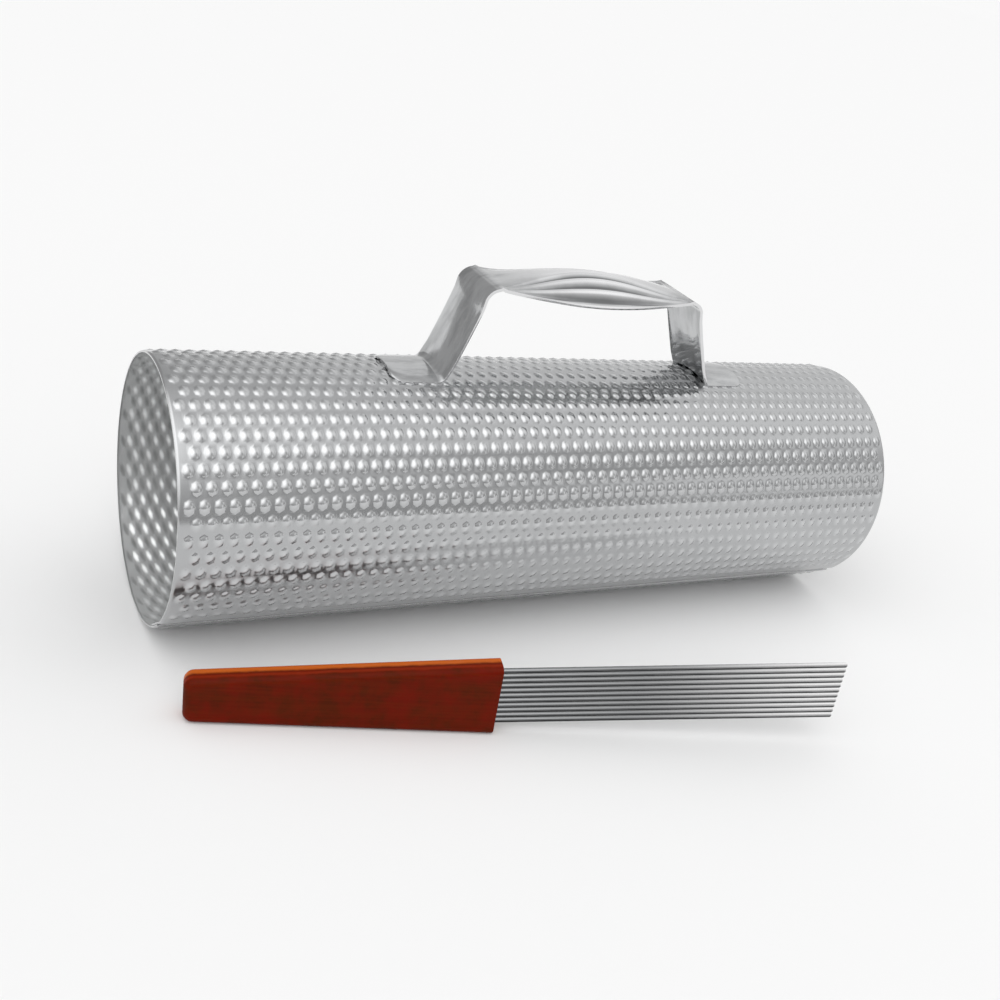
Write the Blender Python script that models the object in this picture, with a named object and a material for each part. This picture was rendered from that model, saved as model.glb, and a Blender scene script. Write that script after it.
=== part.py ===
"""Metal guiro with its wire scraper: the construction, in metres, +Z up.

The tube lies along X with its lowest bumps on Z = 0 and its handle up.
The scraper stands on its lower edge in front of the tube, on the -Y side.
"""
import math

import bmesh
import bpy
from mathutils import Matrix, Vector

# Tube: one rolled sheet with a joggled lap seam, radius taken over the embossed crests
tube_length = 0.318
tube_radius = 0.051
sheet_gauge = 0.0006
tube_facets = 96
lap_width = 0.008
joggle_width = 0.004
seam_angle = math.radians(-45)

# Embossing: staggered flat-topped bumps, every third bump along of every second row of the real sheet
bump_height = 0.0012
bump_pitch = 0.0153
bump_top_length = 0.0042
bump_top_width = 0.0057
bump_rows = 28
rim_margin = 0.003
seam_margin = 0.003

# Handle: one stamped strap, foot, leg, fluted grip, leg, foot
strap_gauge = 0.0012
strap_width = 0.0255
handle_shift = 0.0085
foot_end_reach = 0.0825
leg_base_reach = 0.0624
left_top_reach = 0.0500
right_top_reach = 0.0468
left_rise = 0.0350
right_rise = 0.0335
foot_corner_radius = 0.005
base_bend_radius = 0.0035
top_bend_radius = 0.006
grip_rise = 0.0055
grip_edge_drop = 0.009
grip_swell = 0.003
flute_count = 5
flute_depth = 0.0008
strap_columns = 21
bend_steps = 5
grip_steps = 16

# Scraper: a tapered wooden handle with wire tines set in a sawn slot
tine_count = 11
tine_diameter = 0.00185
tine_gap = 0.0003
tine_tip_spread = 0.00022
tine_tilt = math.radians(1.2)
tine_exposed = 0.136
tine_seated = 0.018
tine_sides = 12
grip_length = 0.109
butt_width = 0.0175
grip_thickness = 0.009
grip_wall = 0.0013
grip_edge_radius = 0.0026
butt_corner_radius = 0.0034
scraper_place = (-0.157, -0.0675)
scraper_yaw = math.radians(-14.6)

# Clearance kept between pieces that touch in the real object
touch_gap = 0.0003

tube_axis_height = tube_radius * math.cos(math.pi / tube_facets)
tine_pitch = tine_diameter + tine_gap
tine_row = tine_pitch * (tine_count - 1) + tine_diameter
slot_depth = tine_seated + touch_gap
slot_height = tine_row + 2 * touch_gap
# Half width of the handle over the slot's floor, and the taper that gives it
floor_half = slot_height / 2 + slot_depth * math.sin(tine_tilt) + grip_wall
grip_taper = math.atan((floor_half - butt_width / 2) / (grip_length - slot_depth))
mouth_width = butt_width + 2 * grip_length * math.tan(grip_taper)


def clear_scene():
    for item in list(bpy.data.objects):
        bpy.data.objects.remove(item, do_unlink=True)


def make_material(name, colour, metallic, roughness):
    material = bpy.data.materials.new(name)
    material.use_nodes = True
    shader = material.node_tree.nodes["Principled BSDF"]
    shader.inputs["Base Color"].default_value = (*colour, 1.0)
    shader.inputs["Metallic"].default_value = metallic
    shader.inputs["Roughness"].default_value = roughness
    return material


def cap_ring(mesh, ring):
    """Close a loft end with a ladder of quads between mirrored points of the ring."""
    count = len(ring)
    for step in range(count // 2 - 1):
        corners = (ring[step], ring[step + 1], ring[count - 2 - step], ring[count - 1 - step])
        mesh.faces.new(corners)


def add_piece(name, mesh, material):
    """Turn a closed mesh into a named object with its faces outwards."""
    bmesh.ops.recalc_face_normals(mesh, faces=mesh.faces)
    if mesh.calc_volume(signed=True) < 0:
        bmesh.ops.reverse_faces(mesh, faces=mesh.faces)
    data = bpy.data.meshes.new(name)
    mesh.to_mesh(data)
    mesh.free()
    data.shade_smooth()
    data.set_sharp_from_angle(angle=math.radians(35))
    data.materials.append(material)
    piece = bpy.data.objects.new(name, data)
    bpy.context.scene.collection.objects.link(piece)
    return piece


def loft(name, rings, material):
    """Skin a list of equal closed rings of points into one closed named solid."""
    mesh = bmesh.new()
    loops = []
    for ring in rings:
        loops.append([mesh.verts.new(point) for point in ring])
    count = len(loops[0])
    for near, far in zip(loops, loops[1:]):
        for corner in range(count):
            after = (corner + 1) % count
            mesh.faces.new((near[corner], near[after], far[after], far[corner]))
    cap_ring(mesh, loops[0])
    cap_ring(mesh, loops[-1])
    return add_piece(name, mesh, material)


def sheet_point(along, angle, radius):
    """Point of the rolled sheet, with its angle measured from the bottom towards +Y."""
    return (along, radius * math.sin(angle), tube_axis_height - radius * math.cos(angle))


def sheet_columns():
    """Places along the tube: its ends, and between them two columns for each bump of a row."""
    half_pitch = bump_pitch / 2
    reach = math.floor((tube_length / 2 - rim_margin) / half_pitch)
    columns = [number * half_pitch for number in range(-reach, reach + 1)]
    return [-tube_length / 2, *columns, tube_length / 2]


def facet_run(start, end):
    """Angles of plain facets from start up to end, without the end."""
    count = max(1, round((end - start) * tube_facets / (2 * math.pi)))
    return [start + (end - start) * step / count for step in range(count)]


def sheet_stations():
    """Angle, ground radius and row number of the lines along the sheet, from its outer to its lapped edge.
    Lines with no bumps on them have no row number."""
    ground = tube_radius - bump_height
    under = ground - sheet_gauge - touch_gap
    facet = 2 * math.pi / tube_facets
    row_step = 2 * math.pi / bump_rows
    lap = lap_width / tube_radius
    joggle = joggle_width / tube_radius
    margin = seam_margin / tube_radius
    clearance = 0.001 / tube_radius
    first = round(seam_angle / facet) * facet + facet / 2
    joggle_start = first + 2 * math.pi - clearance - joggle
    first_row = math.ceil((first + margin) / row_step)
    last_row = math.floor((joggle_start - margin) / row_step)
    stations = [(angle, ground, None) for angle in facet_run(first, first_row * row_step)]
    stations.append((first_row * row_step, ground, None))
    stations += [(row * row_step, ground, row) for row in range(first_row + 1, last_row)]
    stations += [(angle, ground, None) for angle in facet_run(last_row * row_step, joggle_start)]
    for step in range(5):
        share = step / 4
        blend = share * share * (3 - 2 * share)
        stations.append((joggle_start + joggle * share, ground + (under - ground) * blend, None))
    for step in range(1, 4):
        stations.append((joggle_start + joggle + (lap + clearance) * step / 3, under, None))
    return stations


def add_ground(mesh, along, angle, radius):
    """A ground point of the sheet, standing for its corners to the left, below, to the right and above."""
    return [mesh.verts.new(sheet_point(along, angle, radius))] * 4


def add_bump_top(mesh, along, angle):
    """The flat top of a bump: its corners to the left, below, to the right and above."""
    tilt = math.atan(bump_top_width / 2 / tube_axis_height)
    rise = tube_axis_height / math.cos(tilt)
    half = bump_top_length / 2
    places = [(along - half, angle, tube_axis_height), (along, angle - tilt, rise)]
    places += [(along + half, angle, tube_axis_height), (along, angle + tilt, rise)]
    corners = [mesh.verts.new(sheet_point(*place)) for place in places]
    mesh.faces.new(corners)
    return corners


def add_sheet_face(mesh, depth):
    """One face of the embossed sheet, at a depth below the outside, as a lattice of bumps and ground."""
    columns = sheet_columns()
    stations = sheet_stations()
    middle = len(columns) // 2
    row_start = next(row - line for line, (_, _, row) in enumerate(stations) if row is not None)
    lattice = {}
    for column, along in enumerate(columns):
        for line, (angle, ground, row) in enumerate(stations):
            crest = (column - middle + line + row_start) % 2 == 0
            if not crest or row is None or not 1 < column < len(columns) - 2:
                lattice[column, line] = add_ground(mesh, along, angle, ground - depth)
            elif depth > 0:
                lattice[column, line] = add_ground(mesh, along, angle, tube_axis_height - depth)
            else:
                lattice[column, line] = add_bump_top(mesh, along, angle)
    for column in range(len(columns) - 1):
        for line in range(len(stations) - 1):
            a = lattice[column, line]
            b = lattice[column + 1, line]
            c = lattice[column + 1, line + 1]
            d = lattice[column, line + 1]
            if (column - middle + line + row_start) % 2 == 0:
                halves = ((a[2], b[0], d[0], a[3]), (b[0], c[1], c[0], d[0]))
            else:
                halves = ((a[0], b[0], b[3], c[0]), (a[0], c[0], d[2], d[1]))
            for half in halves:
                mesh.faces.new(dict.fromkeys(half))


def build_body_shell(material):
    """Embossed sheet rolled up: full circle, then a joggle that carries the inner edge under the outer edge."""
    mesh = bmesh.new()
    add_sheet_face(mesh, 0)
    bmesh.ops.reverse_faces(mesh, faces=mesh.faces)
    add_sheet_face(mesh, sheet_gauge)
    bmesh.ops.dissolve_limit(mesh, angle_limit=math.radians(0.05), verts=[], edges=mesh.edges)
    bmesh.ops.bridge_loops(mesh, edges=[edge for edge in mesh.edges if edge.is_boundary])
    return add_piece("body_shell", mesh, material)


def arc_stations(start, heading, turn, radius, steps):
    """Points and headings along a bend that begins at start, turning by a signed angle."""
    side = math.copysign(1, turn)
    centre = (start[0] - side * radius * math.sin(heading), start[1] + side * radius * math.cos(heading))
    stations = []
    for step in range(steps + 1):
        now = heading + turn * step / steps
        point = (centre[0] + side * radius * math.sin(now), centre[1] - side * radius * math.cos(now))
        stations.append((point, now))
    return stations


def strap_section(point, heading, half_width, foot_share, grip_share):
    """Closed ring across the strap: outer face from -Y to +Y, then the inner face back."""
    foot_radius = tube_radius + touch_gap + strap_gauge / 2
    outer = []
    inner = []
    for column in range(strap_columns):
        share = 2 * column / (strap_columns - 1) - 1
        across = half_width * share
        dip = foot_radius - math.sqrt(foot_radius ** 2 - across ** 2)
        flute = 0.5 - 0.5 * math.cos(math.pi * flute_count * (share + 1))
        shape = grip_rise - grip_edge_drop * share ** 2 - flute_depth * flute
        lift = grip_share * shape - foot_share * dip
        for face, side in ((outer, 0.5), (inner, -0.5)):
            offset = lift + side * strap_gauge
            along = point[0] - math.sin(heading) * offset
            height = point[1] + math.cos(heading) * offset
            face.append((along + handle_shift, across, height))
    return outer + inner[::-1]


def foot_sections(height):
    """Sections of the left foot, from its rounded end to the full width of the strap."""
    sections = []
    for step in range(5):
        turn = math.pi / 2 * step / 4
        along = -foot_end_reach + foot_corner_radius * (1 - math.cos(turn))
        width = strap_width / 2 - foot_corner_radius * (1 - math.sin(turn))
        sections.append(strap_section((along, height), 0.0, width, 1.0, 0.0))
    return sections


def strap_bends(height):
    """Stations of the four bends along the strap, from the left foot to the right foot."""
    corners = [(-foot_end_reach, height), (-leg_base_reach, height), (-left_top_reach, height + left_rise)]
    corners += [(right_top_reach, height + right_rise), (leg_base_reach, height), (foot_end_reach, height)]
    radii = (base_bend_radius, top_bend_radius, top_bend_radius, base_bend_radius)
    headings = []
    for here, there in zip(corners, corners[1:]):
        headings.append(math.atan2(there[1] - here[1], there[0] - here[0]))
    bends = []
    for corner, radius, heading, after in zip(corners[1:-1], radii, headings, headings[1:]):
        turn = after - heading
        tangent = radius * math.tan(abs(turn) / 2)
        start = (corner[0] - tangent * math.cos(heading), corner[1] - tangent * math.sin(heading))
        bends.append(arc_stations(start, heading, turn, radius, bend_steps))
    return bends


def build_handle(material):
    """Foot, leg, grip, leg and foot in one run of sections."""
    height = tube_axis_height + tube_radius + touch_gap + strap_gauge / 2
    half = strap_width / 2
    left_base, left_top, right_top, right_base = strap_bends(height)
    left_foot = foot_sections(height)
    sections = list(left_foot)
    for step, (point, heading) in enumerate(left_base):
        sections.append(strap_section(point, heading, half, 1 - step / bend_steps, 0.0))
    for point, heading in left_top:
        sections.append(strap_section(point, heading, half, 0.0, 0.0))
    start, heading = left_top[-1]
    end = right_top[0][0]
    for step in range(1, grip_steps):
        along = step / grip_steps
        share = math.sin(math.pi * along)
        point = (start[0] + (end[0] - start[0]) * along, start[1] + (end[1] - start[1]) * along)
        sections.append(strap_section(point, heading, half + grip_swell * share, 0.0, share))
    for point, heading in right_top:
        sections.append(strap_section(point, heading, half, 0.0, 0.0))
    for step, (point, heading) in enumerate(right_base):
        sections.append(strap_section(point, heading, half, step / bend_steps, 0.0))
    for ring in left_foot[::-1]:
        sections.append([(2 * handle_shift - x, y, z) for x, y, z in ring])
    return loft("handle", sections, material)


def scraper_frame():
    """Matrix from the scraper's own axes (x to the tips, z across the row) to the part's frame."""
    lift = butt_width / 2 * math.cos(grip_taper)
    place = Matrix.Translation((scraper_place[0], scraper_place[1], lift))
    return place @ Matrix.Rotation(scraper_yaw, 4, "Z") @ Matrix.Rotation(-grip_taper, 4, "Y")


def tine_frame():
    """Matrix from the row of tines' own axes, with its origin in the mouth, to the scraper's axes."""
    return Matrix.Translation((grip_length, 0, 0)) @ Matrix.Rotation(-tine_tilt, 4, "Y")


def rounded_rectangle(along, half_height, half_depth, radius):
    """Ring of a rounded rectangle, mirrored about its middle so that it can be capped."""
    ring = []
    corners = ((1, 1, 0), (1, -1, 90), (-1, -1, 180), (-1, 1, 270))
    for depth_side, height_side, first in corners:
        for step in range(4):
            turn = math.radians(first + 30 * step)
            depth = depth_side * (half_depth - radius) + radius * math.sin(turn)
            height = height_side * (half_height - radius) + radius * math.cos(turn)
            ring.append((along, depth, height))
    return ring


def build_scraper_handle(material, place):
    """Tapered slab with rounded edges and butt, and the slot sawn in from its mouth."""
    rings = []
    for step in range(5):
        turn = math.pi / 2 * step / 4
        along = butt_corner_radius * (1 - math.cos(turn))
        inset = butt_corner_radius * (1 - math.sin(turn))
        half_height = butt_width / 2 + along * math.tan(grip_taper) - inset
        rings.append(rounded_rectangle(along, half_height, grip_thickness / 2 - inset / 2, grip_edge_radius))
    rings.append(rounded_rectangle(grip_length, mouth_width / 2, grip_thickness / 2, grip_edge_radius))
    placed = [[place @ Vector(point) for point in ring] for ring in rings]
    handle = loft("scraper_handle", placed, material)
    slot_gap = tine_diameter + 2 * touch_gap
    overrun = 0.01
    box = bmesh.new()
    bmesh.ops.create_cube(box, size=1.0)
    size = Matrix.Diagonal((slot_depth + overrun, slot_gap, slot_height, 1.0))
    middle = Matrix.Translation(((overrun - slot_depth) / 2, 0, 0))
    box.transform(place @ tine_frame() @ middle @ size)
    data = bpy.data.meshes.new("slot_cutter")
    box.to_mesh(data)
    box.free()
    cutter = bpy.data.objects.new("slot_cutter", data)
    bpy.context.scene.collection.objects.link(cutter)
    cutter.hide_render = True
    cutter.display_type = "WIRE"
    cut = handle.modifiers.new("sawn_slot", "BOOLEAN")
    cut.operation = "DIFFERENCE"
    cut.solver = "EXACT"
    cut.object = cutter
    return handle


def build_tine(number, material, place):
    """One straight wire from the slot's floor to its rounded tip."""
    row_place = number - (tine_count - 1) / 2
    root = Vector((-tine_seated, 0, row_place * tine_pitch))
    tip = Vector((tine_exposed, 0, row_place * (tine_pitch + tine_tip_spread)))
    run = tip - root
    radius = tine_diameter / 2
    profile = ((0.0, 1.0), (run.length - radius, 1.0), (run.length - 0.35 * radius, 0.76), (run.length, 0.25))
    turn = Matrix.Rotation(-math.atan2(run.z, run.x), 4, "Y")
    rings = []
    for along, share in profile:
        ring = []
        for side in range(tine_sides):
            angle = 2 * math.pi * (side + 0.5) / tine_sides
            local = Vector((along, radius * share * math.cos(angle), radius * share * math.sin(angle)))
            ring.append(place @ tine_frame() @ (root + turn @ local))
        rings.append(ring)
    return loft(f"tine_{number + 1:02d}", rings, material)


def build_part():
    clear_scene()
    embossed_sheet = make_material("embossed_sheet", (0.72, 0.73, 0.75), 1.0, 0.25)
    bright_strap = make_material("bright_strap", (0.80, 0.80, 0.82), 1.0, 0.15)
    varnished_wood = make_material("varnished_wood", (0.20, 0.03, 0.015), 0.0, 0.2)
    spring_wire = make_material("spring_wire", (0.55, 0.55, 0.57), 1.0, 0.25)
    build_body_shell(embossed_sheet)
    build_handle(bright_strap)
    place = scraper_frame()
    build_scraper_handle(varnished_wood, place)
    for number in range(tine_count):
        build_tine(number, spring_wire, place)


build_part()
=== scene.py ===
"""Looks of the metal guiro and its wire scraper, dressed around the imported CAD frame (metres, +Z up)."""
import math
from collections import namedtuple

import bmesh
import bpy
from mathutils import Matrix, Vector


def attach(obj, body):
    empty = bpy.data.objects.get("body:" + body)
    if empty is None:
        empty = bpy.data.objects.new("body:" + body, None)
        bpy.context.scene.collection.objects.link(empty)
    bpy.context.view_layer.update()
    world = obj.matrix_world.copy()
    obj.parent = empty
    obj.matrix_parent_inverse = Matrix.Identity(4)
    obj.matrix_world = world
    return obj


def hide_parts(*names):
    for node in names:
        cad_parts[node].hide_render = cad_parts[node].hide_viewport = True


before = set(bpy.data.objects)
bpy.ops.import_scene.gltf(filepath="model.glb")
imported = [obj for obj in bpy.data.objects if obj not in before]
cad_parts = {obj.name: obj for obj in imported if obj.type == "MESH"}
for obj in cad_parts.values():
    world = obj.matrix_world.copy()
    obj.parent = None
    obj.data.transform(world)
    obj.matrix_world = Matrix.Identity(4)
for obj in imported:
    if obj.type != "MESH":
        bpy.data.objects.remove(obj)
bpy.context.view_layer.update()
mm = 0.001

# Clearance that the CAD model keeps between pieces that touch
touch_gap = 0.3 * mm

# Tube, sized as in the CAD model: radius over the crests, seam low on the near side
tube_length = 318 * mm
crest_radius = 51 * mm
solid_facets = 96
tube_axis_height = crest_radius * math.cos(math.pi / solid_facets)
sheet_gauge = 0.6 * mm
seam_angle = math.radians(-43.125)
rim_edge = 0.45 * mm
rim_turn_in = 0.3 * mm

# Embossing: staggered rows of oval bumps pressed out from the ground of the sheet. The slopes at a bump's
# foot and shoulder are shares of its height over its half size.
bumps_along = 61
bump_rows = 50
rows_per_turn = 52.5
bump_pitch = 5.14 * mm
bump_height = 0.6 * mm
bump_half_length = 2.3 * mm
bump_half_width = 2.98 * mm
bump_shoulder = 0.7
bump_foot_slope = 0.3
bump_shoulder_slope = 2.0
hollow_depth = 0.75 * mm
ground_radius = crest_radius - bump_height
half_pitch = bump_pitch / 2
row_step = math.pi * ground_radius / rows_per_turn
rim_margin = (tube_length - (2 * bumps_along + 1) * half_pitch) / 2

# Seam: plain margins, one stepped down under the other and spot welded. The sheet's lattice has two rows and
# two columns to a bump, and the places along and around it are counted in them.
lattice_turn = 2 * rows_per_turn
first_bump_row = 3
joggle_start = lattice_turn - 1.45
joggle_end = lattice_turn - 0.1
joggle_steps = 4
lap_rows = 2.9
lap_gap = 0.15 * mm
lap_drop = sheet_gauge + lap_gap
weld_row = 1
weld_count = 12
weld_spacing = 10
first_weld = 6
weld_depth = 0.25 * mm
weld_radius = 1.7 * mm

# Handle strap: the CAD model's strip, with a tighter right bend, finer flutes, creased legs and feet that are
# pressed down between the bumps
strap_gauge = 1.2 * mm
strap_width = 25.5 * mm
handle_shift = 8.5 * mm
foot_end_reach = 82.5 * mm
leg_base_reach = 62.4 * mm
left_top_reach = 50.0 * mm
right_top_reach = 46.8 * mm
left_rise = 35.0 * mm
right_rise = 33.5 * mm
foot_corner_radius = 5 * mm
left_base_radius = 3.5 * mm
right_base_radius = 2 * mm
top_bend_radius = 6 * mm
grip_rise = 5.5 * mm
grip_edge_drop = 9 * mm
grip_swell = 3 * mm
flutes_per_side = 3
flute_depth = 1.2 * mm
flute_zone = 0.95
flute_zone_left = 0.25
flute_fade = 0.6
leg_crease = 0.8 * mm
leg_fade = 0.4
edge_bead = 0.3 * mm
bead_start = 0.86
edge_ease = 0.35 * mm
foot_tuck = 0.8 * mm
foot_press = 0.3 * mm
bend_pinch = 0.35 * mm
strap_columns = 80
bend_steps = 8
leg_steps = 7
grip_steps = 48

# Scraper: the CAD model's handle and row of tines, with wires a little thicker, so that only hairline gaps
# are left between them
tine_count = 11
tine_diameter = 1.85 * mm
tine_gap = 0.3 * mm
tine_pitch = tine_diameter + tine_gap
wire_diameter = 2.08 * mm
wire_sides = 20
tip_round = 0.75
tine_tip_spread = 0.22 * mm
tine_tilt = math.radians(1.2)
tine_exposed = 136 * mm
tine_seated = 18 * mm
grip_length = 109 * mm
butt_width = 17.5 * mm
grip_thickness = 9 * mm
grip_wall = 1.3 * mm
grip_edge_radius = 2.6 * mm
butt_corner_radius = 3.4 * mm
mouth_ease = 0.3 * mm
scraper_place = Vector((-157 * mm, -67.5 * mm, 0))
scraper_yaw = math.radians(-14.6)
slot_depth = tine_seated + touch_gap
slot_height = tine_pitch * (tine_count - 1) + tine_diameter + 2 * touch_gap
slot_gap = tine_diameter + 2 * touch_gap
floor_half = slot_height / 2 + slot_depth * math.sin(tine_tilt) + grip_wall
grip_taper = math.atan((floor_half - butt_width / 2) / (grip_length - slot_depth))

# Studio: level of the room and its soft panels, each with its azimuth from the front towards +X, elevation,
# inner and outer angle from its middle, in degrees, and the light that it adds
room_level = 0.45
soft_panels = (
    (-54, 53, 8, 57, 1.20),
    (81, 38, 6, 33, 0.26),
    (43, 11, 2, 13, 0.45),
    (47, 68, 10, 73, 0.37),
    (44, 36, 2, 15, -0.27),
    (136, 18, 16, 37, 0.38))
floor_reach = 20
floor_skirt = 1.6
floor_upturn = 0.6


def hex_colour(code):
    """Linear colour of an sRGB hex code."""
    channels = [int(code[place:place + 2], 16) / 255 for place in (1, 3, 5)]
    linear = [c / 12.92 if c <= 0.04045 else ((c + 0.055) / 1.055) ** 2.4 for c in channels]
    return (*linear, 1.0)


def fill_inputs(tree, node, inputs):
    """Set a node's sockets, by name or number, from plain values or from other nodes' outputs."""
    for name, value in inputs.items():
        if isinstance(value, bpy.types.NodeSocket):
            tree.links.new(value, node.inputs[name])
        else:
            node.inputs[name].default_value = value


def add_node(tree, kind, settings, inputs):
    """Add one node with its settings and links."""
    node = tree.nodes.new(kind)
    for name, value in settings.items():
        setattr(node, name, value)
    fill_inputs(tree, node, inputs)
    return node


def new_material(name):
    material = bpy.data.materials.new(name)
    material.use_nodes = True
    return material, material.node_tree, material.node_tree.nodes["Principled BSDF"]


def finish_piece(mesh, name, material, body, nodes, crease):
    """Turn a bmesh into a smooth-shaded piece that rides on its body and stands for its CAD nodes.
    Edges that turn by more than crease, in degrees, stay sharp."""
    data = bpy.data.meshes.new(name)
    mesh.to_mesh(data)
    mesh.free()
    data.shade_smooth()
    data.set_sharp_from_angle(angle=math.radians(crease))
    data.materials.append(material)
    piece = bpy.data.objects.new(name, data)
    bpy.context.scene.collection.objects.link(piece)
    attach(piece, body)
    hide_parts(*nodes)
    return piece


def edge_places(edge, axis):
    """Both ends of an edge along one axis, lowest first."""
    return sorted(vert.co[axis] for vert in edge.verts)


# Materials

def rolled_steel_sheet():
    """Cold rolled steel sheet, bright and thin: sharp reflections outside, crests painted lighter than the
    ground, partly burnished by the scraper and partly painted highlight and shade, and the unpolished inside
    hazy and painted paler."""
    material, tree, shader = new_material("rolled_steel_sheet")
    place = add_node(tree, "ShaderNodeTexCoord", {}, {})
    crest = add_node(tree, "ShaderNodeAttribute", {"attribute_name": "crest"}, {})
    inside = add_node(tree, "ShaderNodeAttribute", {"attribute_name": "inside"}, {})
    smudge_size = 14 * mm
    smudge = add_node(tree, "ShaderNodeTexNoise", {}, {
        "Vector": place.outputs["Object"], "Scale": 1 / smudge_size, "Detail": 4.0, "Roughness": 0.6})
    # Mill grain of the sheet is finer than a pixel, so it is drawn at half a millimetre
    grain_size = 0.5 * mm
    grain = add_node(tree, "ShaderNodeTexNoise", {}, {
        "Vector": place.outputs["Object"], "Scale": 1 / grain_size, "Detail": 2.0})
    tone = add_node(tree, "ShaderNodeMix", {"data_type": "RGBA"}, {
        0: smudge.outputs["Fac"], 6: hex_colour("#b2b3b4"), 7: hex_colour("#bcbdbe")})
    # Crests lighter than the ground between the bumps: partly burnishing by the scraper, partly a painted
    # highlight on the crests and painted shade on the ground
    crest_wear_and_highlight = add_node(tree, "ShaderNodeMix", {"data_type": "RGBA"}, {
        0: crest.outputs["Fac"], 6: tone.outputs[2], 7: hex_colour("#cfd0d1")})
    # The inside is painted paler than the outside: partly its unpolished finish, partly painted light lifting
    # the shade inside the tube
    colour = add_node(tree, "ShaderNodeMix", {"data_type": "RGBA"}, {
        0: inside.outputs["Fac"], 6: crest_wear_and_highlight.outputs[2], 7: hex_colour("#dadbdb")})
    dull = add_node(tree, "ShaderNodeMapRange", {}, {
        "Value": smudge.outputs["Fac"], "From Min": 0.3, "From Max": 0.7, "To Min": 0.11, "To Max": 0.17})
    haze = add_node(tree, "ShaderNodeMath", {"operation": "MULTIPLY_ADD"}, {
        0: inside.outputs["Fac"], 1: 0.19, 2: dull.outputs["Result"]})
    speckle = add_node(tree, "ShaderNodeMapRange", {}, {
        "Value": grain.outputs["Fac"], "From Min": 0.3, "From Max": 0.7, "To Min": -0.02, "To Max": 0.02})
    roughness = add_node(tree, "ShaderNodeMath", {"operation": "ADD"}, {
        0: haze.outputs["Value"], 1: speckle.outputs["Result"]})
    bare = add_node(tree, "ShaderNodeMapRange", {}, {
        "Value": inside.outputs["Fac"], "To Min": 1.0, "To Max": 0.65})
    ripple = add_node(tree, "ShaderNodeBump", {}, {
        "Height": grain.outputs["Fac"], "Strength": 0.12, "Distance": 0.02 * mm})
    fill_inputs(tree, shader, {
        "Base Color": colour.outputs[2], "Metallic": bare.outputs["Result"],
        "Roughness": roughness.outputs["Value"], "Normal": ripple.outputs["Normal"]})
    return material


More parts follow.
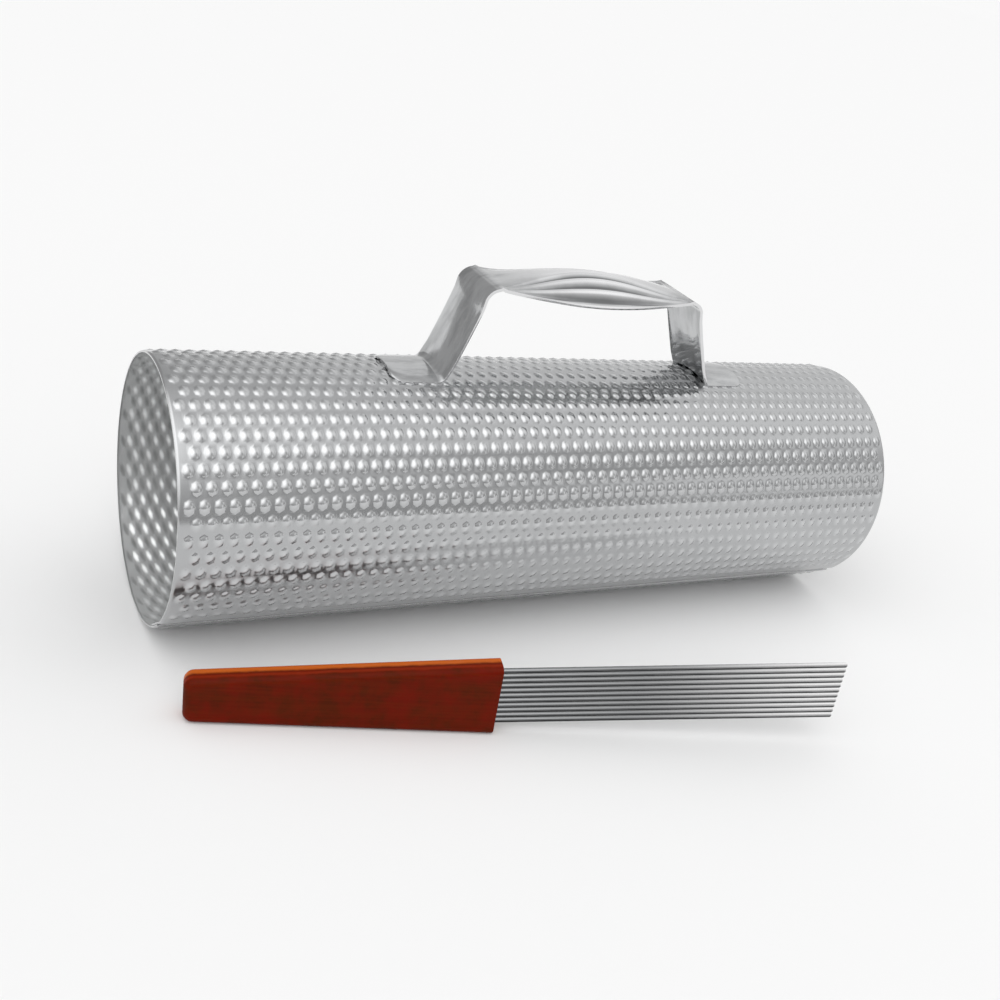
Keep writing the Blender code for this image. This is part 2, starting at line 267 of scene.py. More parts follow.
def drawn_steel_strap():
    """Bright steel strip with a high polish: clear reflections, faint lengthwise die lines, the cloudy grey
    of handling on its flats, painted highlights on the flutes' ridges and along the edges, painted shade in
    the valleys, painted light beneath."""
    material, tree, shader = new_material("drawn_steel_strap")
    place = add_node(tree, "ShaderNodeTexCoord", {}, {})
    # Clouds and die lines run along the strap, so they follow its own map in metres
    cloud_width = 7 * mm
    cloud_length = 20 * mm
    drift = add_node(tree, "ShaderNodeMapping", {}, {
        "Vector": place.outputs["UV"], "Scale": (1 / cloud_length, 1 / cloud_width, 1.0)})
    cloud = add_node(tree, "ShaderNodeTexNoise", {}, {
        "Vector": drift.outputs["Vector"], "Scale": 1.0, "Detail": 5.0, "Roughness": 0.62})
    line_width = 0.5 * mm
    line_length = 60 * mm
    stretch = add_node(tree, "ShaderNodeMapping", {}, {
        "Vector": place.outputs["UV"], "Scale": (1 / line_length, 1 / line_width, 1.0)})
    line = add_node(tree, "ShaderNodeTexNoise", {}, {
        "Vector": stretch.outputs["Vector"], "Scale": 1.0, "Detail": 3.0})
    patch = add_node(tree, "ShaderNodeMapRange", {"interpolation_type": "SMOOTHSTEP"}, {
        "Value": cloud.outputs["Fac"], "From Min": 0.34, "From Max": 0.62})
    tone = add_node(tree, "ShaderNodeMix", {"data_type": "RGBA"}, {
        0: patch.outputs["Result"], 6: hex_colour("#a9aaab"), 7: hex_colour("#c6c7c8")})
    dull = add_node(tree, "ShaderNodeMapRange", {}, {
        "Value": cloud.outputs["Fac"], "From Min": 0.3, "From Max": 0.7, "To Min": 0.13, "To Max": 0.07})
    streak = add_node(tree, "ShaderNodeMapRange", {}, {
        "Value": line.outputs["Fac"], "From Min": 0.3, "From Max": 0.7, "To Min": -0.02, "To Max": 0.02})
    roughness = add_node(tree, "ShaderNodeMath", {"operation": "ADD"}, {
        0: dull.outputs["Result"], 1: streak.outputs["Result"]})
    scratch = add_node(tree, "ShaderNodeBump", {}, {
        "Height": line.outputs["Fac"], "Strength": 0.15, "Distance": 0.02 * mm})
    buckle = add_node(tree, "ShaderNodeBump", {}, {
        "Height": cloud.outputs["Fac"], "Strength": 0.25, "Distance": 0.15 * mm,
        "Normal": scratch.outputs["Normal"]})
    valley = add_node(tree, "ShaderNodeAttribute", {"attribute_name": "valley"}, {})
    ridge = add_node(tree, "ShaderNodeAttribute", {"attribute_name": "ridge"}, {})
    rim = add_node(tree, "ShaderNodeAttribute", {"attribute_name": "rim"}, {})
    # Painted shade: the flutes' valleys are painted dark grey
    painted_valley_shade = add_node(tree, "ShaderNodeMix", {"data_type": "RGBA"}, {
        0: valley.outputs["Fac"], 6: tone.outputs[2], 7: hex_colour("#6e6f70")})
    # Painted highlight: the flutes' ridges are painted near white
    painted_ridge_highlight = add_node(tree, "ShaderNodeMix", {"data_type": "RGBA"}, {
        0: ridge.outputs["Fac"], 6: painted_valley_shade.outputs[2], 7: hex_colour("#eeeeef")})
    # Painted highlight: the strip's edges are painted lighter
    painted_edge_highlight = add_node(tree, "ShaderNodeMix", {"data_type": "RGBA"}, {
        0: rim.outputs["Fac"], 6: painted_ridge_highlight.outputs[2], 7: hex_colour("#dcdcdd")})
    # Painted light: faces of the grip that point down are painted near white
    facing = add_node(tree, "ShaderNodeSeparateXYZ", {}, {"Vector": place.outputs["Normal"]})
    beneath = add_node(tree, "ShaderNodeMapRange", {}, {
        "Value": facing.outputs["Z"], "From Min": -0.4, "From Max": -0.9})
    colour = add_node(tree, "ShaderNodeMix", {"data_type": "RGBA"}, {
        0: beneath.outputs["Result"], 6: painted_edge_highlight.outputs[2], 7: hex_colour("#f0f1f1")})
    fill_inputs(tree, shader, {
        "Base Color": colour.outputs[2], "Metallic": 1.0,
        "Roughness": roughness.outputs["Value"], "Normal": buckle.outputs["Normal"]})
    return material


def painted_light_band(tree, place, middle, reach, core):
    """Share of a soft band across the wood: full within core of its middle, none past its reach."""
    offset = add_node(tree, "ShaderNodeMath", {"operation": "SUBTRACT"}, {0: place, 1: middle})
    distance = add_node(tree, "ShaderNodeMath", {"operation": "ABSOLUTE"}, {0: offset.outputs["Value"]})
    band = add_node(tree, "ShaderNodeMapRange", {"interpolation_type": "SMOOTHSTEP"}, {
        "Value": distance.outputs["Value"], "From Min": reach, "From Max": core})
    return band.outputs["Result"]


def varnished_hardwood():
    """Red-brown stained hardwood under gloss varnish: mottled dark faces, an orange painted highlight along
    the narrow sides, pale sawn end grain at the mouth."""
    material, tree, shader = new_material("varnished_hardwood")
    place = add_node(tree, "ShaderNodeTexCoord", {}, {})
    own = add_node(tree, "ShaderNodeMapping", {"vector_type": "TEXTURE"}, {
        "Vector": place.outputs["Object"], "Location": scraper_place, "Rotation": (0, 0, scraper_yaw)})
    mottle_size = 9 * mm
    mottle = add_node(tree, "ShaderNodeTexNoise", {}, {
        "Vector": own.outputs["Vector"], "Scale": 1 / mottle_size, "Detail": 4.0, "Roughness": 0.65})
    grain_width = 0.8 * mm
    grain_run = 26 * mm
    stretch = add_node(tree, "ShaderNodeMapping", {}, {
        "Vector": own.outputs["Vector"], "Scale": (1 / grain_run, 1 / grain_width, 1 / grain_width)})
    grain = add_node(tree, "ShaderNodeTexNoise", {}, {
        "Vector": stretch.outputs["Vector"], "Scale": 1.0, "Detail": 4.0, "Roughness": 0.55})
    patch = add_node(tree, "ShaderNodeMapRange", {}, {
        "Value": mottle.outputs["Fac"], "From Min": 0.35, "From Max": 0.65})
    stain = add_node(tree, "ShaderNodeMix", {"data_type": "RGBA"}, {
        0: patch.outputs["Result"], 6: hex_colour("#4b1803"), 7: hex_colour("#671103")})
    streak = add_node(tree, "ShaderNodeMapRange", {}, {
        "Value": grain.outputs["Fac"], "From Min": 0.35, "From Max": 0.7, "To Min": 0.0, "To Max": 0.3})
    figured = add_node(tree, "ShaderNodeMix", {"data_type": "RGBA"}, {
        0: streak.outputs["Result"], 6: stain.outputs[2], 7: hex_colour("#6d2606")})
    depth = add_node(tree, "ShaderNodeSeparateXYZ", {}, {"Vector": own.outputs["Vector"]})
    waver = add_node(tree, "ShaderNodeMath", {"operation": "MULTIPLY_ADD"}, {
        0: mottle.outputs["Fac"], 1: 1.6 * mm, 2: depth.outputs["Y"]})
    # Painted light: an orange band along the back half of the narrow sides stands in for the lit top edge,
    # and a lighter red band towards their front edge for the varnish's reflection
    painted_edge_light_band = painted_light_band(tree, waver.outputs["Value"], middle=2.6 * mm, reach=2.3 * mm, core=0.6 * mm)
    painted_arris_band = painted_light_band(tree, waver.outputs["Value"], middle=-0.7 * mm, reach=1.3 * mm, core=0.1 * mm)
    # Painted reflection: a lighter red band along the front edge of the narrow sides
    painted_arris_reflection = add_node(tree, "ShaderNodeMix", {"data_type": "RGBA"}, {
        0: painted_arris_band, 6: figured.outputs[2], 7: hex_colour("#7e240b")})
    painted_highlight_tone = add_node(tree, "ShaderNodeMix", {"data_type": "RGBA"}, {
        0: painted_edge_light_band, 6: painted_arris_reflection.outputs[2], 7: hex_colour("#bd5a17")})
    sawn = add_node(tree, "ShaderNodeAttribute", {"attribute_name": "sawn"}, {})
    pore_size = 0.7 * mm
    pore = add_node(tree, "ShaderNodeTexNoise", {}, {
        "Vector": own.outputs["Vector"], "Scale": 1 / pore_size, "Detail": 3.0})
    end_grain = add_node(tree, "ShaderNodeMix", {"data_type": "RGBA"}, {
        0: pore.outputs["Fac"], 6: hex_colour("#8a4f2a"), 7: hex_colour("#c89468")})
    colour = add_node(tree, "ShaderNodeMix", {"data_type": "RGBA"}, {
        0: sawn.outputs["Fac"], 6: painted_highlight_tone.outputs[2], 7: end_grain.outputs[2]})
    varnish = add_node(tree, "ShaderNodeMapRange", {}, {
        "Value": painted_edge_light_band, "To Min": 0.05, "To Max": 0.3})
    roughness = add_node(tree, "ShaderNodeMapRange", {}, {
        "Value": grain.outputs["Fac"], "To Min": 0.38, "To Max": 0.55})
    sag = add_node(tree, "ShaderNodeBump", {}, {
        "Height": mottle.outputs["Fac"], "Strength": 0.3, "Distance": 0.2 * mm})
    fill_inputs(tree, shader, {
        "Base Color": colour.outputs[2], "Roughness": roughness.outputs["Result"], "IOR": 1.5,
        "Specular IOR Level": 0.03, "Coat Weight": varnish.outputs["Result"], "Coat Roughness": 0.06,
        "Coat IOR": 1.5, "Normal": sag.outputs["Normal"]})
    return material


def spring_wire():
    """Hard drawn spring wire: fine die lines, painted shade on the underside, and the colour painted paler
    towards the tip as a highlight."""
    material, tree, shader = new_material("spring_wire")
    place = add_node(tree, "ShaderNodeTexCoord", {}, {})
    own = add_node(tree, "ShaderNodeMapping", {"vector_type": "TEXTURE"}, {
        "Vector": place.outputs["Object"], "Location": scraper_place, "Rotation": (0, 0, scraper_yaw)})
    line_width = 0.35 * mm
    line_run = 18 * mm
    stretch = add_node(tree, "ShaderNodeMapping", {}, {
        "Vector": own.outputs["Vector"], "Scale": (1 / line_run, 1 / line_width, 1 / line_width)})
    line = add_node(tree, "ShaderNodeTexNoise", {}, {
        "Vector": stretch.outputs["Vector"], "Scale": 1.0, "Detail": 3.0})
    run = add_node(tree, "ShaderNodeSeparateXYZ", {}, {"Vector": own.outputs["Vector"]})
    # Painted highlight: the wire grows paler towards the tip
    tip_highlight_share = add_node(tree, "ShaderNodeMapRange", {"interpolation_type": "SMOOTHSTEP"}, {
        "Value": run.outputs["X"], "From Min": grip_length + 0.35 * tine_exposed,
        "From Max": grip_length + tine_exposed})
    painted_highlight_tone = add_node(tree, "ShaderNodeMix", {"data_type": "RGBA"}, {
        0: tip_highlight_share.outputs["Result"], 6: hex_colour("#949596"), 7: hex_colour("#f2f2f2")})
    underside = add_node(tree, "ShaderNodeAttribute", {"attribute_name": "underside"}, {})
    # Painted shade: the underside of each wire is painted nearly black, its edge ragged with the die lines
    underside_shade_edge = add_node(tree, "ShaderNodeMath", {"operation": "MULTIPLY_ADD"}, {
        0: line.outputs["Fac"], 1: 0.3, 2: underside.outputs["Fac"]})
    scale = add_node(tree, "ShaderNodeMapRange", {"interpolation_type": "SMOOTHSTEP"}, {
        "Value": underside_shade_edge.outputs["Value"], "From Min": -0.6, "From Max": 0.25})
    tone = add_node(tree, "ShaderNodeMix", {"data_type": "RGBA"}, {
        0: scale.outputs["Result"], 6: painted_highlight_tone.outputs[2], 7: hex_colour("#2b2c2d")})
    roughness = add_node(tree, "ShaderNodeMapRange", {}, {
        "Value": line.outputs["Fac"], "From Min": 0.3, "From Max": 0.7, "To Min": 0.12, "To Max": 0.22})
    die_mark = add_node(tree, "ShaderNodeBump", {}, {
        "Height": line.outputs["Fac"], "Strength": 0.2, "Distance": 0.02 * mm})
    fill_inputs(tree, shader, {
        "Base Color": tone.outputs[2], "Metallic": 1.0,
        "Roughness": roughness.outputs["Result"], "Normal": die_mark.outputs["Normal"]})
    return material


# Embossed shell

rim_places = [0, rim_edge]


def places_along(steps):
    """Columns of the sheet's lattice, with so many steps in half a pitch."""
    places = [rim_margin + step * half_pitch / steps for step in range(steps * (2 * bumps_along + 1) + 1)]
    return rim_places + places + [tube_length - place for place in rim_places[::-1]]


plain_rows = round(lattice_turn) - 2
around_places = [step * row_step for step in range(plain_rows + 1)]
around_places += [
    (joggle_start + (joggle_end - joggle_start) * step / joggle_steps) * row_step
    for step in range(joggle_steps + 1)]
around_places += [(lattice_turn + share * lap_rows) * row_step for share in (0, 0.33, 0.67, 1)]


def bump_places():
    """Lattice places of the bumps' middles, alternate rows shifted by half a pitch."""
    first = len(rim_places) + 1
    places = []
    for row in range(bump_rows):
        for bump in range(bumps_along):
            places.append((first + row % 2 + 2 * bump, first_bump_row + 2 * row))
    return places


def weld_places():
    """Lattice places of the spot welds along the seam's outer margin."""
    first = len(rim_places) + first_weld
    return [(first + weld_spacing * weld, weld_row) for weld in range(weld_count)]


def lay_sheet(mesh, along_places, level):
    """One flat face of the sheet as a lattice of cells, found by column and row."""
    columns = len(along_places) - 1
    rows = len(around_places) - 1
    made = bmesh.ops.create_grid(mesh, x_segments=columns, y_segments=rows, size=0.5)
    lattice = {}
    for vert in made["verts"]:
        column = round((vert.co.x + 0.5) * columns)
        row = round((vert.co.y + 0.5) * rows)
        vert.co = (along_places[column], around_places[row], level)
        lattice[column, row] = vert
    return lattice


def press(mesh, layers, top, half_length, half_width):
    """Raise the brick round each dissolved middle from an oval foot over a shoulder to a rounded top.
    The slope grows evenly from the top to the shoulder and eases off evenly to the foot."""
    crest, lean = layers
    bricks = [face for face in mesh.faces if len(face.verts) > 5]
    centres = [face.calc_center_bounds() for face in bricks]
    ring_width = 0.05 * mm
    for size, share in ((1.0, bump_foot_slope), (bump_shoulder, bump_shoulder_slope)):
        lift = 1 - size
        slope = -share * top
        # The inset only makes the ring, whose corners are then set on the oval
        bmesh.ops.inset_individual(mesh, faces=bricks, thickness=ring_width, use_even_offset=True)
        for brick, centre in zip(bricks, centres):
            for vert in brick.verts:
                offset = vert.co - centre
                turn = math.atan2(offset.y / half_width, offset.x / half_length)
                across = math.cos(turn)
                round_way = math.sin(turn)
                on_oval = (size * half_length * across, size * half_width * round_way, lift * top)
                vert.co = centre + Vector(on_oval)
                vert[crest] = lift
                vert[lean] = (slope * across / half_length, slope * round_way / half_width, 0)
    made = bmesh.ops.poke(mesh, faces=bricks)
    for vert in made["verts"]:
        vert.co.z = centres[0].z + top
        vert[crest] = 1.0


def hollow(along, around):
    """Height and slopes of the sheet's inner face, which waves evenly behind the outer face's bumps."""
    column = (along - rim_margin) / half_pitch
    row = around / row_step
    across = math.pi * (column - 1)
    round_way = math.pi / 2 * (row - first_bump_row)
    shifted = math.cos(round_way) < 0
    in_row = shifted <= column <= 2 * bumps_along + shifted
    if not (in_row and -1.5 < row - first_bump_row < 2 * bump_rows - 0.5):
        return 0, (0, 0, 0)
    height = hollow_depth / 2 * (1 + math.cos(across) * math.cos(round_way))
    lengthwise = -hollow_depth / 2 * math.pi / half_pitch * math.sin(across) * math.cos(round_way)
    crosswise = -hollow_depth / 2 * math.pi / 2 / row_step * math.cos(across) * math.sin(round_way)
    return height, (lengthwise, crosswise, 0)


def rolled(along, around, height):
    """Place on the tube of a point of the flat sheet, with its rims turned in and its lap stepped down."""
    from_rim = min(along, tube_length - along) / rim_margin
    if from_rim < 1:
        height -= rim_turn_in * (1 - from_rim) ** 2
    step = (around / row_step - joggle_start) / (joggle_end - joggle_start)
    step = min(max(step, 0), 1)
    height -= lap_drop * step * step * (3 - 2 * step)
    angle = seam_angle + around / ground_radius
    radius = ground_radius + height
    return Vector((
        tube_length / 2 - along,
        radius * math.sin(angle),
        tube_axis_height - radius * math.cos(angle)))


def rolled_normal(place, slope):
    """Outward direction on the tube, where the sheet rises by the slopes along and around it."""
    along, around, height = place
    step = 0.05 * mm
    here = rolled(along, around, height)
    lengthwise = rolled(along + step, around, height + slope[0] * step) - here
    crosswise = rolled(along, around + step, height + slope[1] * step) - here
    return lengthwise.cross(crosswise).normalized()


def corner_normals(mesh, inside, outwards):
    """Normal of each face's corners: along the sheet's slopes, but square on the cut edges."""
    normals = []
    for face in mesh.faces:
        sides = {vert[inside] for vert in face.verts}
        for vert in face.verts:
            if len(sides) > 1:
                normals.append(face.normal.copy())
            else:
                normals.append(outwards[vert] * (1 - 2 * vert[inside]))
    return normals


def build_embossed_shell(material):
    """Outer face with bumps and spot welds, inner face with plainer hollows, closed round the edges."""
    mesh = bmesh.new()
    inside = mesh.verts.layers.float.new("inside")
    crest = mesh.verts.layers.float.new("crest")
    lean = mesh.verts.layers.float_vector.new("lean")
    outer = lay_sheet(mesh, places_along(1), 0)
    bmesh.ops.dissolve_verts(mesh, verts=[outer[place] for place in bump_places()])
    press(mesh, (crest, lean), bump_height, bump_half_length, bump_half_width)
    bmesh.ops.dissolve_verts(mesh, verts=[outer[place] for place in weld_places()])
    press(mesh, (crest, lean), -weld_depth, weld_radius, weld_radius)
    seam_edges = []
    for edge in mesh.edges:
        low, high = edge_places(edge, 0)
        if edge.is_boundary and high - low > mm:
            seam_edges.append(edge)
    bmesh.ops.subdivide_edges(mesh, edges=seam_edges, cuts=1)
    outer_faces = set(mesh.faces)
    inner = lay_sheet(mesh, places_along(2), -sheet_gauge)
    for vert in inner.values():
        height, slopes = hollow(vert.co.x, vert.co.y)
        vert.co.z += height
        vert[lean] = slopes
        vert[inside] = 1.0
    bmesh.ops.reverse_faces(mesh, faces=[face for face in mesh.faces if face not in outer_faces])
    bmesh.ops.bridge_loops(mesh, edges=[edge for edge in mesh.edges if edge.is_boundary])
    outwards = {vert: rolled_normal(vert.co, vert[lean]) for vert in mesh.verts}
    for vert in mesh.verts:
        vert.co = rolled(*vert.co)
    bmesh.ops.recalc_face_normals(mesh, faces=mesh.faces)
    if mesh.calc_volume(signed=True) < 0:
        bmesh.ops.reverse_faces(mesh, faces=mesh.faces)
    normals = corner_normals(mesh, inside, outwards)
    piece = finish_piece(mesh, "embossed_shell", material, "guiro", ["body_shell"], 65)
    piece.data.normals_split_custom_set(normals)
    return piece


# Handle strap

Section = namedtuple(
    "Section", "x z heading half on_foot on_leg on_grip pinch", defaults=(0, 0, 0, 0))


def bend_stations(start, heading, turn, radius):
    """Places and headings along a bend that begins at start, turning by a signed angle."""
    side = math.copysign(1, turn)
    centre_x = start[0] - side * radius * math.sin(heading)
    centre_z = start[1] + side * radius * math.cos(heading)
    stations = []
    for step in range(bend_steps + 1):
        now = heading + turn * step / bend_steps
        x = centre_x + side * radius * math.sin(now)
        z = centre_z - side * radius * math.cos(now)
        stations.append((x, z, now))
    return stations


def strap_bends():
    """Stations of the strap's four bends, from the left foot to the right foot."""
    foot = tube_axis_height + crest_radius + touch_gap + strap_gauge / 2
    corners = [(-foot_end_reach, foot), (-leg_base_reach, foot), (-left_top_reach, foot + left_rise)]
    corners += [(right_top_reach, foot + right_rise), (leg_base_reach, foot), (foot_end_reach, foot)]
    headings = [math.atan2(b[1] - a[1], b[0] - a[0]) for a, b in zip(corners, corners[1:])]
    radii = (left_base_radius, top_bend_radius, top_bend_radius, right_base_radius)
    bends = []
    for corner, radius, heading, after in zip(corners[1:-1], radii, headings, headings[1:]):
        tangent = radius * math.tan(abs(after - heading) / 2)
        start = (corner[0] - tangent * math.cos(heading), corner[1] - tangent * math.sin(heading))
        bends.append(bend_stations(start, heading, after - heading, radius))
    return bends


def between(start, end, steps):
    """Places between two stations, without the ends, with the share of the way."""
    places = []
    for step in range(1, steps):
        share = step / steps
        x = start[0] + (end[0] - start[0]) * share
        z = start[1] + (end[1] - start[1]) * share
        places.append((x, z, start[2], share))
    return places


def leg_share(share):
    """How fully a leg has its crease, which fades into the bends at both of its ends."""
    return math.sin(math.pi * share) ** leg_fade


def strap_sections():
    """Sections along the strap, from the left foot to the right foot."""
    half = strap_width / 2
    left_base, left_top, right_top, right_base = strap_bends()
    foot = []
    for step in range(bend_steps + 1):
        turn = math.pi / 2 * step / bend_steps
        x = -foot_end_reach + foot_corner_radius * (1 - math.cos(turn))
        narrowed = half - foot_corner_radius * (1 - math.sin(turn))
        foot.append(Section(x, left_base[0][1], 0.0, narrowed, on_foot=1))
    sections = list(foot)
    for station in left_base:
        sections.append(Section(*station, half, on_foot=1))
    for *station, share in between(left_base[-1], left_top[0], leg_steps):
        sections.append(Section(*station, half, on_foot=(1 - share) ** 2, on_leg=leg_share(share)))
    for step, station in enumerate(left_top):
        sections.append(Section(*station, half, pinch=step // bend_steps))
    for *station, share in between(left_top[-1], right_top[0], grip_steps):
        grip = math.sin(math.pi * share)
        sections.append(Section(*station, half + grip_swell * grip, on_grip=grip))
    for step, station in enumerate(right_top):
        sections.append(Section(*station, half, pinch=1 - min(step, 1)))
    for *station, share in between(right_top[-1], right_base[0], leg_steps):
        sections.append(Section(*station, half, on_foot=share ** 2, on_leg=leg_share(share)))
    for station in right_base:
        sections.append(Section(*station, half, on_foot=1))
    for section in foot[::-1]:
        sections.append(section._replace(x=-section.x))
    return sections


def strap_share(section, column):
    """Share of the half width at a column: the flutes' columns draw in to the edge at the grip's ends."""
    from_edge = 1 - abs(column)
    zone = flute_zone * (flute_zone_left + (1 - flute_zone_left) * section.on_grip)
    if from_edge < flute_zone:
        share = 1 - zone * from_edge / flute_zone
    else:
        share = (1 - zone) * abs(column) / (1 - flute_zone)
    return math.copysign(share, column)


def flute_share(section, column):
    """Depth of the flutes at a column, as a share of their full depth."""
    into_zone = min((1 - abs(column)) / flute_zone, 1)
    wave = 0.5 - 0.5 * math.cos(2 * math.pi * flutes_per_side * into_zone)
    return wave * section.on_grip ** flute_fade


def strap_lift(section, column, share):
    """How far the strap's middle surface stands off its line."""
    arch = grip_rise - grip_edge_drop * share ** 2
    bead = edge_bead * max(0, (abs(share) - bead_start) / (1 - bead_start)) ** 2
    lift = section.on_grip * arch - flute_depth * flute_share(section, column)
    lift -= section.on_leg * (leg_crease * abs(share) + bead)
    return lift + section.pinch * bend_pinch


def foot_drop(section, share):
    """How far the strap is let down to the round tube: fully along the feet, less and less up the legs."""
    foot_radius = crest_radius + touch_gap + strap_gauge / 2
    dip = foot_radius - math.sqrt(foot_radius ** 2 - (share * section.half) ** 2)
    return section.on_foot * (dip + foot_tuck * share ** 4 + touch_gap + foot_press)


def build_fluted_strap(material):
    """One strip bent to foot, leg, fluted grip, leg and foot, with eased edges."""
    sections = strap_sections()
    mesh = bmesh.new()
    bmesh.ops.create_grid(mesh, x_segments=len(sections) - 1, y_segments=strap_columns, size=0.5)
    strap_map = mesh.loops.layers.uv.new("strap_map")
    rim = mesh.verts.layers.float.new("rim")
    ridge = mesh.verts.layers.float.new("ridge")
    valley = mesh.verts.layers.float.new("valley")
    run = [0.0]
    for here, there in zip(sections, sections[1:]):
        run.append(run[-1] + math.hypot(there.x - here.x, there.z - here.z))
    for face in mesh.faces:
        for loop in face.loops:
            number = round((loop.vert.co.x + 0.5) * (len(sections) - 1))
            share = strap_share(sections[number], 2 * loop.vert.co.y)
            loop[strap_map].uv = (run[number], share * strap_width / 2)
    for vert in mesh.verts:
        section = sections[round((vert.co.x + 0.5) * (len(sections) - 1))]
        column = 2 * vert.co.y
        share = strap_share(section, column)
        lift = strap_lift(section, column, share)
        flute = flute_share(section, column)
        vert[rim] = float(vert.is_boundary)
        vert[valley] = flute ** 2
        vert[ridge] = max(section.on_grip ** flute_fade - flute, 0) ** 2
        vert.co = (
            section.x - math.sin(section.heading) * lift + handle_shift,
            section.half * share,
            section.z + math.cos(section.heading) * lift - foot_drop(section, share))
    piece = finish_piece(mesh, "fluted_strap", material, "guiro", ["handle"], 60)
    wall = piece.modifiers.new("strip_gauge", "SOLIDIFY")
    wall.thickness = strap_gauge
    wall.offset = 0
    wall.use_even_offset = True
    ease = piece.modifiers.new("eased_edges", "BEVEL")
    ease.width = edge_ease
    ease.segments = 3
    ease.limit_method = "ANGLE"
    ease.angle_limit = math.radians(50)
    return piece


# Scraper

def scraper_frame():
    """Matrix from the scraper's own axes (x to the tips, z across the row) to the part's frame."""
    lift = Vector((0, 0, butt_width / 2 * math.cos(grip_taper)))
    place = Matrix.Translation(scraper_place + lift)
    return place @ Matrix.Rotation(scraper_yaw, 4, "Z") @ Matrix.Rotation(-grip_taper, 4, "Y")


def tine_frame():
    """Matrix from the row of tines' own axes, with its origin in the mouth, to the scraper's axes."""
    return Matrix.Translation((grip_length, 0, 0)) @ Matrix.Rotation(-tine_tilt, 4, "Y")


def sink_slot(mesh, mouth):
    """Mark the slot's outline on the mouth with four cuts, and sink the piece between them."""
    region = [mouth]
    for axis, half in ((1, slot_gap / 2), (2, slot_height / 2)):
        for side in (-1, 1):
            at = Vector((grip_length, 0, 0))
            at[axis] = side * half
            normal = Vector((0, 0, 0))
            normal[axis] = 1
            parts = {edge for face in region for edge in face.edges}
            corners = {vert for face in region for vert in face.verts}
            made = bmesh.ops.bisect_plane(
                mesh, geom=[*region, *parts, *corners], plane_co=at, plane_no=normal)
            region = [item for item in made["geom"] if isinstance(item, bmesh.types.BMFace)]
    slot = min(region, key=lambda face: face.calc_center_median().yz.length)
    sunk = bmesh.ops.extrude_discrete_faces(mesh, faces=[slot])["faces"][0]
    bmesh.ops.translate(mesh, verts=sunk.verts, vec=tine_frame().to_3x3() @ Vector((-slot_depth, 0, 0)))
    return [face for face in region if face.is_valid]


def build_wooden_grip(material):
    """Tapered slab with its slot sunk in the mouth, rounded butt corners and rounded long edges."""
    mesh = bmesh.new()
    sawn = mesh.faces.layers.float.new("sawn")
    bmesh.ops.create_cube(mesh, size=1.0)
    for vert in mesh.verts:
        along = (vert.co.x + 0.5) * grip_length
        half = butt_width / 2 + along * math.tan(grip_taper)
        vert.co = (along, vert.co.y * grip_thickness, 2 * vert.co.z * half)
    mesh.normal_update()
    corners = [edge for edge in mesh.edges
               if edge_places(edge, 0)[1] < mm and edge_places(edge, 1)[0] < 0 < edge_places(edge, 1)[1]]
    bmesh.ops.bevel(mesh, geom=corners, offset=butt_corner_radius, offset_type="OFFSET", segments=7,
                    profile=0.5, affect="EDGES", material=-1)
    mesh.normal_update()
    broad = [face for face in mesh.faces if abs(face.normal.y) > 0.9]
    arrises = {edge for face in broad for edge in face.edges if edge_places(edge, 0)[0] < grip_length - mm}
    bmesh.ops.bevel(mesh, geom=list(arrises), offset=grip_edge_radius, offset_type="OFFSET", segments=6,
                    profile=0.5, affect="EDGES", material=-1)
    mouth = max(mesh.faces, key=lambda face: face.calc_center_median().x)
    bmesh.ops.bevel(mesh, geom=mouth.edges[:], offset=mouth_ease, offset_type="OFFSET", segments=2,
                    profile=0.5, affect="EDGES", material=-1)
    mouth = max(mesh.faces, key=lambda face: face.calc_center_median().x)
    for face in sink_slot(mesh, mouth):
        face[sawn] = 1.0
    mesh.transform(scraper_frame())
    piece = finish_piece(
        mesh, "wooden_grip", material, "scraper", ["scraper_handle"], 40)
    piece.modifiers.new("flat_faces", "WEIGHTED_NORMAL").keep_sharp = True
    # The tube mirrors only the plain room, as it does in the photograph
    piece.visible_glossy = False
    return piece


def build_tine_wire(number, material):
    """One drawn wire from near the slot's floor to its rounded tip, fanned out a touch as sprung wire is."""
    row_place = number - (tine_count - 1) / 2
    root = Vector((-tine_seated, 0, row_place * tine_pitch))
    tip = Vector((tine_exposed, 0, row_place * (tine_pitch + tine_tip_spread)))
    run = tip - root
    radius = wire_diameter / 2
    mesh = bmesh.new()
    underside = mesh.verts.layers.float.new("underside")
    bmesh.ops.create_cone(
        mesh, cap_ends=True, segments=wire_sides, radius1=radius, radius2=radius, depth=run.length)
    tip_edges = [edge for edge in mesh.edges if all(v.co.z > 0 for v in edge.verts)]
    bmesh.ops.bevel(mesh, geom=tip_edges, offset=tip_round * radius, offset_type="OFFSET", segments=4,
                    profile=0.5, affect="EDGES", material=-1)
    for vert in mesh.verts:
        vert[underside] = vert.co.x / radius
    upright = Matrix.Translation((run.length / 2, 0, 0)) @ Matrix.Rotation(math.pi / 2, 4, "Y")
    aim = Matrix.Translation(root) @ Matrix.Rotation(-math.atan2(run.z, run.x), 4, "Y")
    mesh.transform(scraper_frame() @ tine_frame() @ aim @ upright)
    name = f"tine_{number + 1:02d}"
    piece = finish_piece(mesh, f"wire_{name}", material, "scraper", [name], 50)
    # Kept out of the tube's mirror image, as the handle is
    piece.visible_glossy = False
    return piece


# Stage

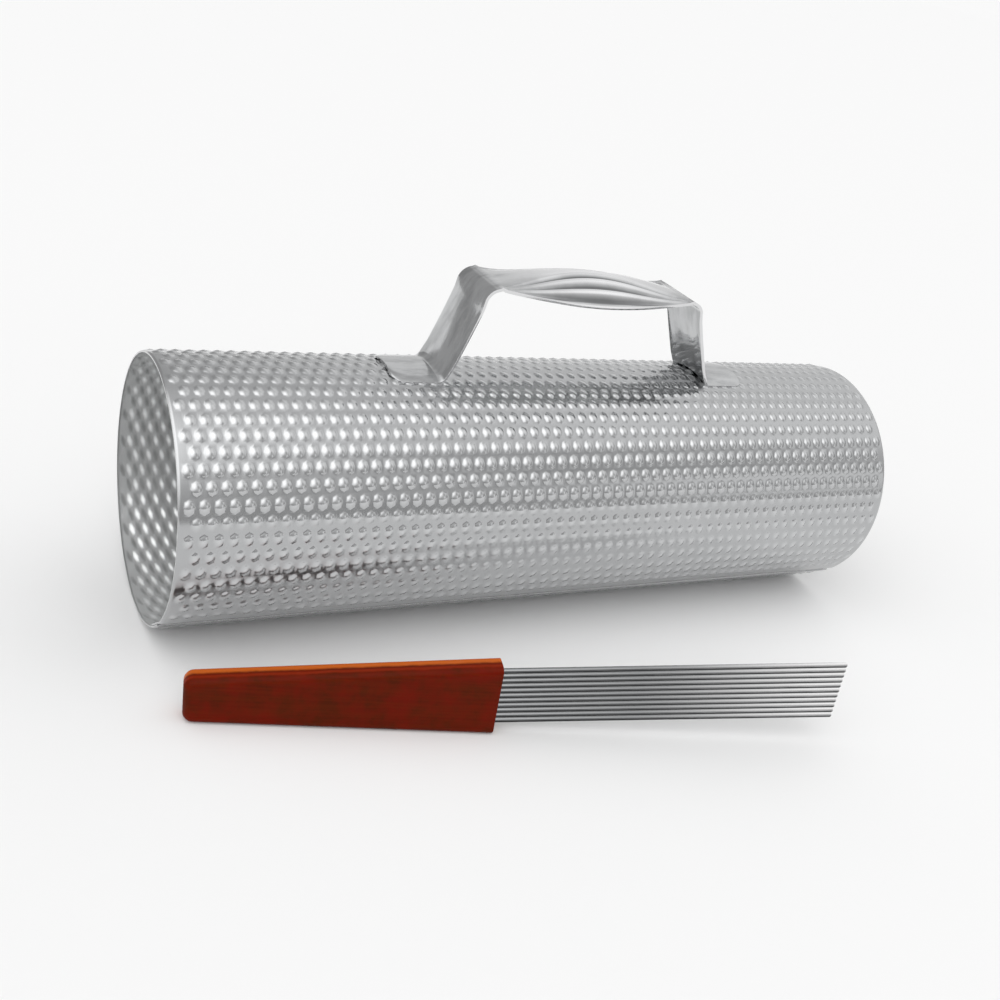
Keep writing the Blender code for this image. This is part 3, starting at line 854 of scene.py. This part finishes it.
def build_floor():
    """Plain pale floor under the part, rising gently far away in place of a horizon."""
    material, tree, shader = new_material("pale_floor")
    fill_inputs(tree, shader, {"Base Color": hex_colour("#f2f2f2"), "Roughness": 0.9})
    mesh = bmesh.new()
    bmesh.ops.create_grid(mesh, x_segments=1, y_segments=1, size=floor_reach)
    skirt = bmesh.ops.extrude_edge_only(mesh, edges=mesh.edges[:])["geom"]
    outer_corners = [item for item in skirt if isinstance(item, bmesh.types.BMVert)]
    bmesh.ops.scale(mesh, verts=outer_corners, vec=(floor_skirt, floor_skirt, 1))
    bmesh.ops.translate(mesh, verts=outer_corners, vec=(0, 0, floor_upturn))
    data = bpy.data.meshes.new("floor")
    mesh.to_mesh(data)
    mesh.free()
    data.materials.append(material)
    floor = bpy.data.objects.new("floor", data)
    bpy.context.scene.collection.objects.link(floor)


def build_world():
    """Grey studio room with soft panels round the part."""
    world = bpy.data.worlds.new("soft_room")
    bpy.context.scene.world = world
    world.use_nodes = True
    tree = world.node_tree
    way = add_node(tree, "ShaderNodeTexCoord", {}, {})
    level = room_level
    for azimuth, elevation, inner, outer, radiance in soft_panels:
        turn = math.radians(azimuth)
        rise = math.radians(elevation)
        middle = (math.sin(turn) * math.cos(rise), -math.cos(turn) * math.cos(rise), math.sin(rise))
        facing = add_node(tree, "ShaderNodeVectorMath", {"operation": "DOT_PRODUCT"}, {
            0: way.outputs["Generated"], 1: middle})
        panel = add_node(tree, "ShaderNodeMapRange", {"interpolation_type": "SMOOTHSTEP"}, {
            "Value": facing.outputs["Value"], "From Min": math.cos(math.radians(outer)),
            "From Max": math.cos(math.radians(inner)), "To Max": radiance})
        total = add_node(tree, "ShaderNodeMath", {"operation": "ADD"}, {
            0: level, 1: panel.outputs["Result"]})
        level = total.outputs["Value"]
    fill_inputs(tree, tree.nodes["Background"], {"Color": level})


def build_camera():
    """Camera at the photograph's viewing angle, its axes and place fitted to the rims and outlines there."""
    lens = bpy.data.cameras.new("camera")
    lens.lens = 43.2
    lens.sensor_width = 36
    lens.clip_start = 0.01
    camera = bpy.data.objects.new("camera", lens)
    bpy.context.scene.collection.objects.link(camera)
    right = Vector((0.878, -0.4322, 0.2055))
    up = Vector((0.0364, 0.4883, 0.8719))
    back = Vector((-0.4772, -0.7581, 0.4445))
    stand = Matrix((right, up, back)).transposed().to_4x4()
    stand.translation = (-0.2537, -0.388, 0.2678)
    camera.matrix_world = stand
    bpy.context.scene.camera = camera


build_camera()
build_floor()
build_world()
build_embossed_shell(rolled_steel_sheet())
build_fluted_strap(drawn_steel_strap())
build_wooden_grip(varnished_hardwood())
wire = spring_wire()
for number in range(tine_count):
    build_tine_wire(number, wire)
bpy.context.scene.view_settings.view_transform = "Standard"
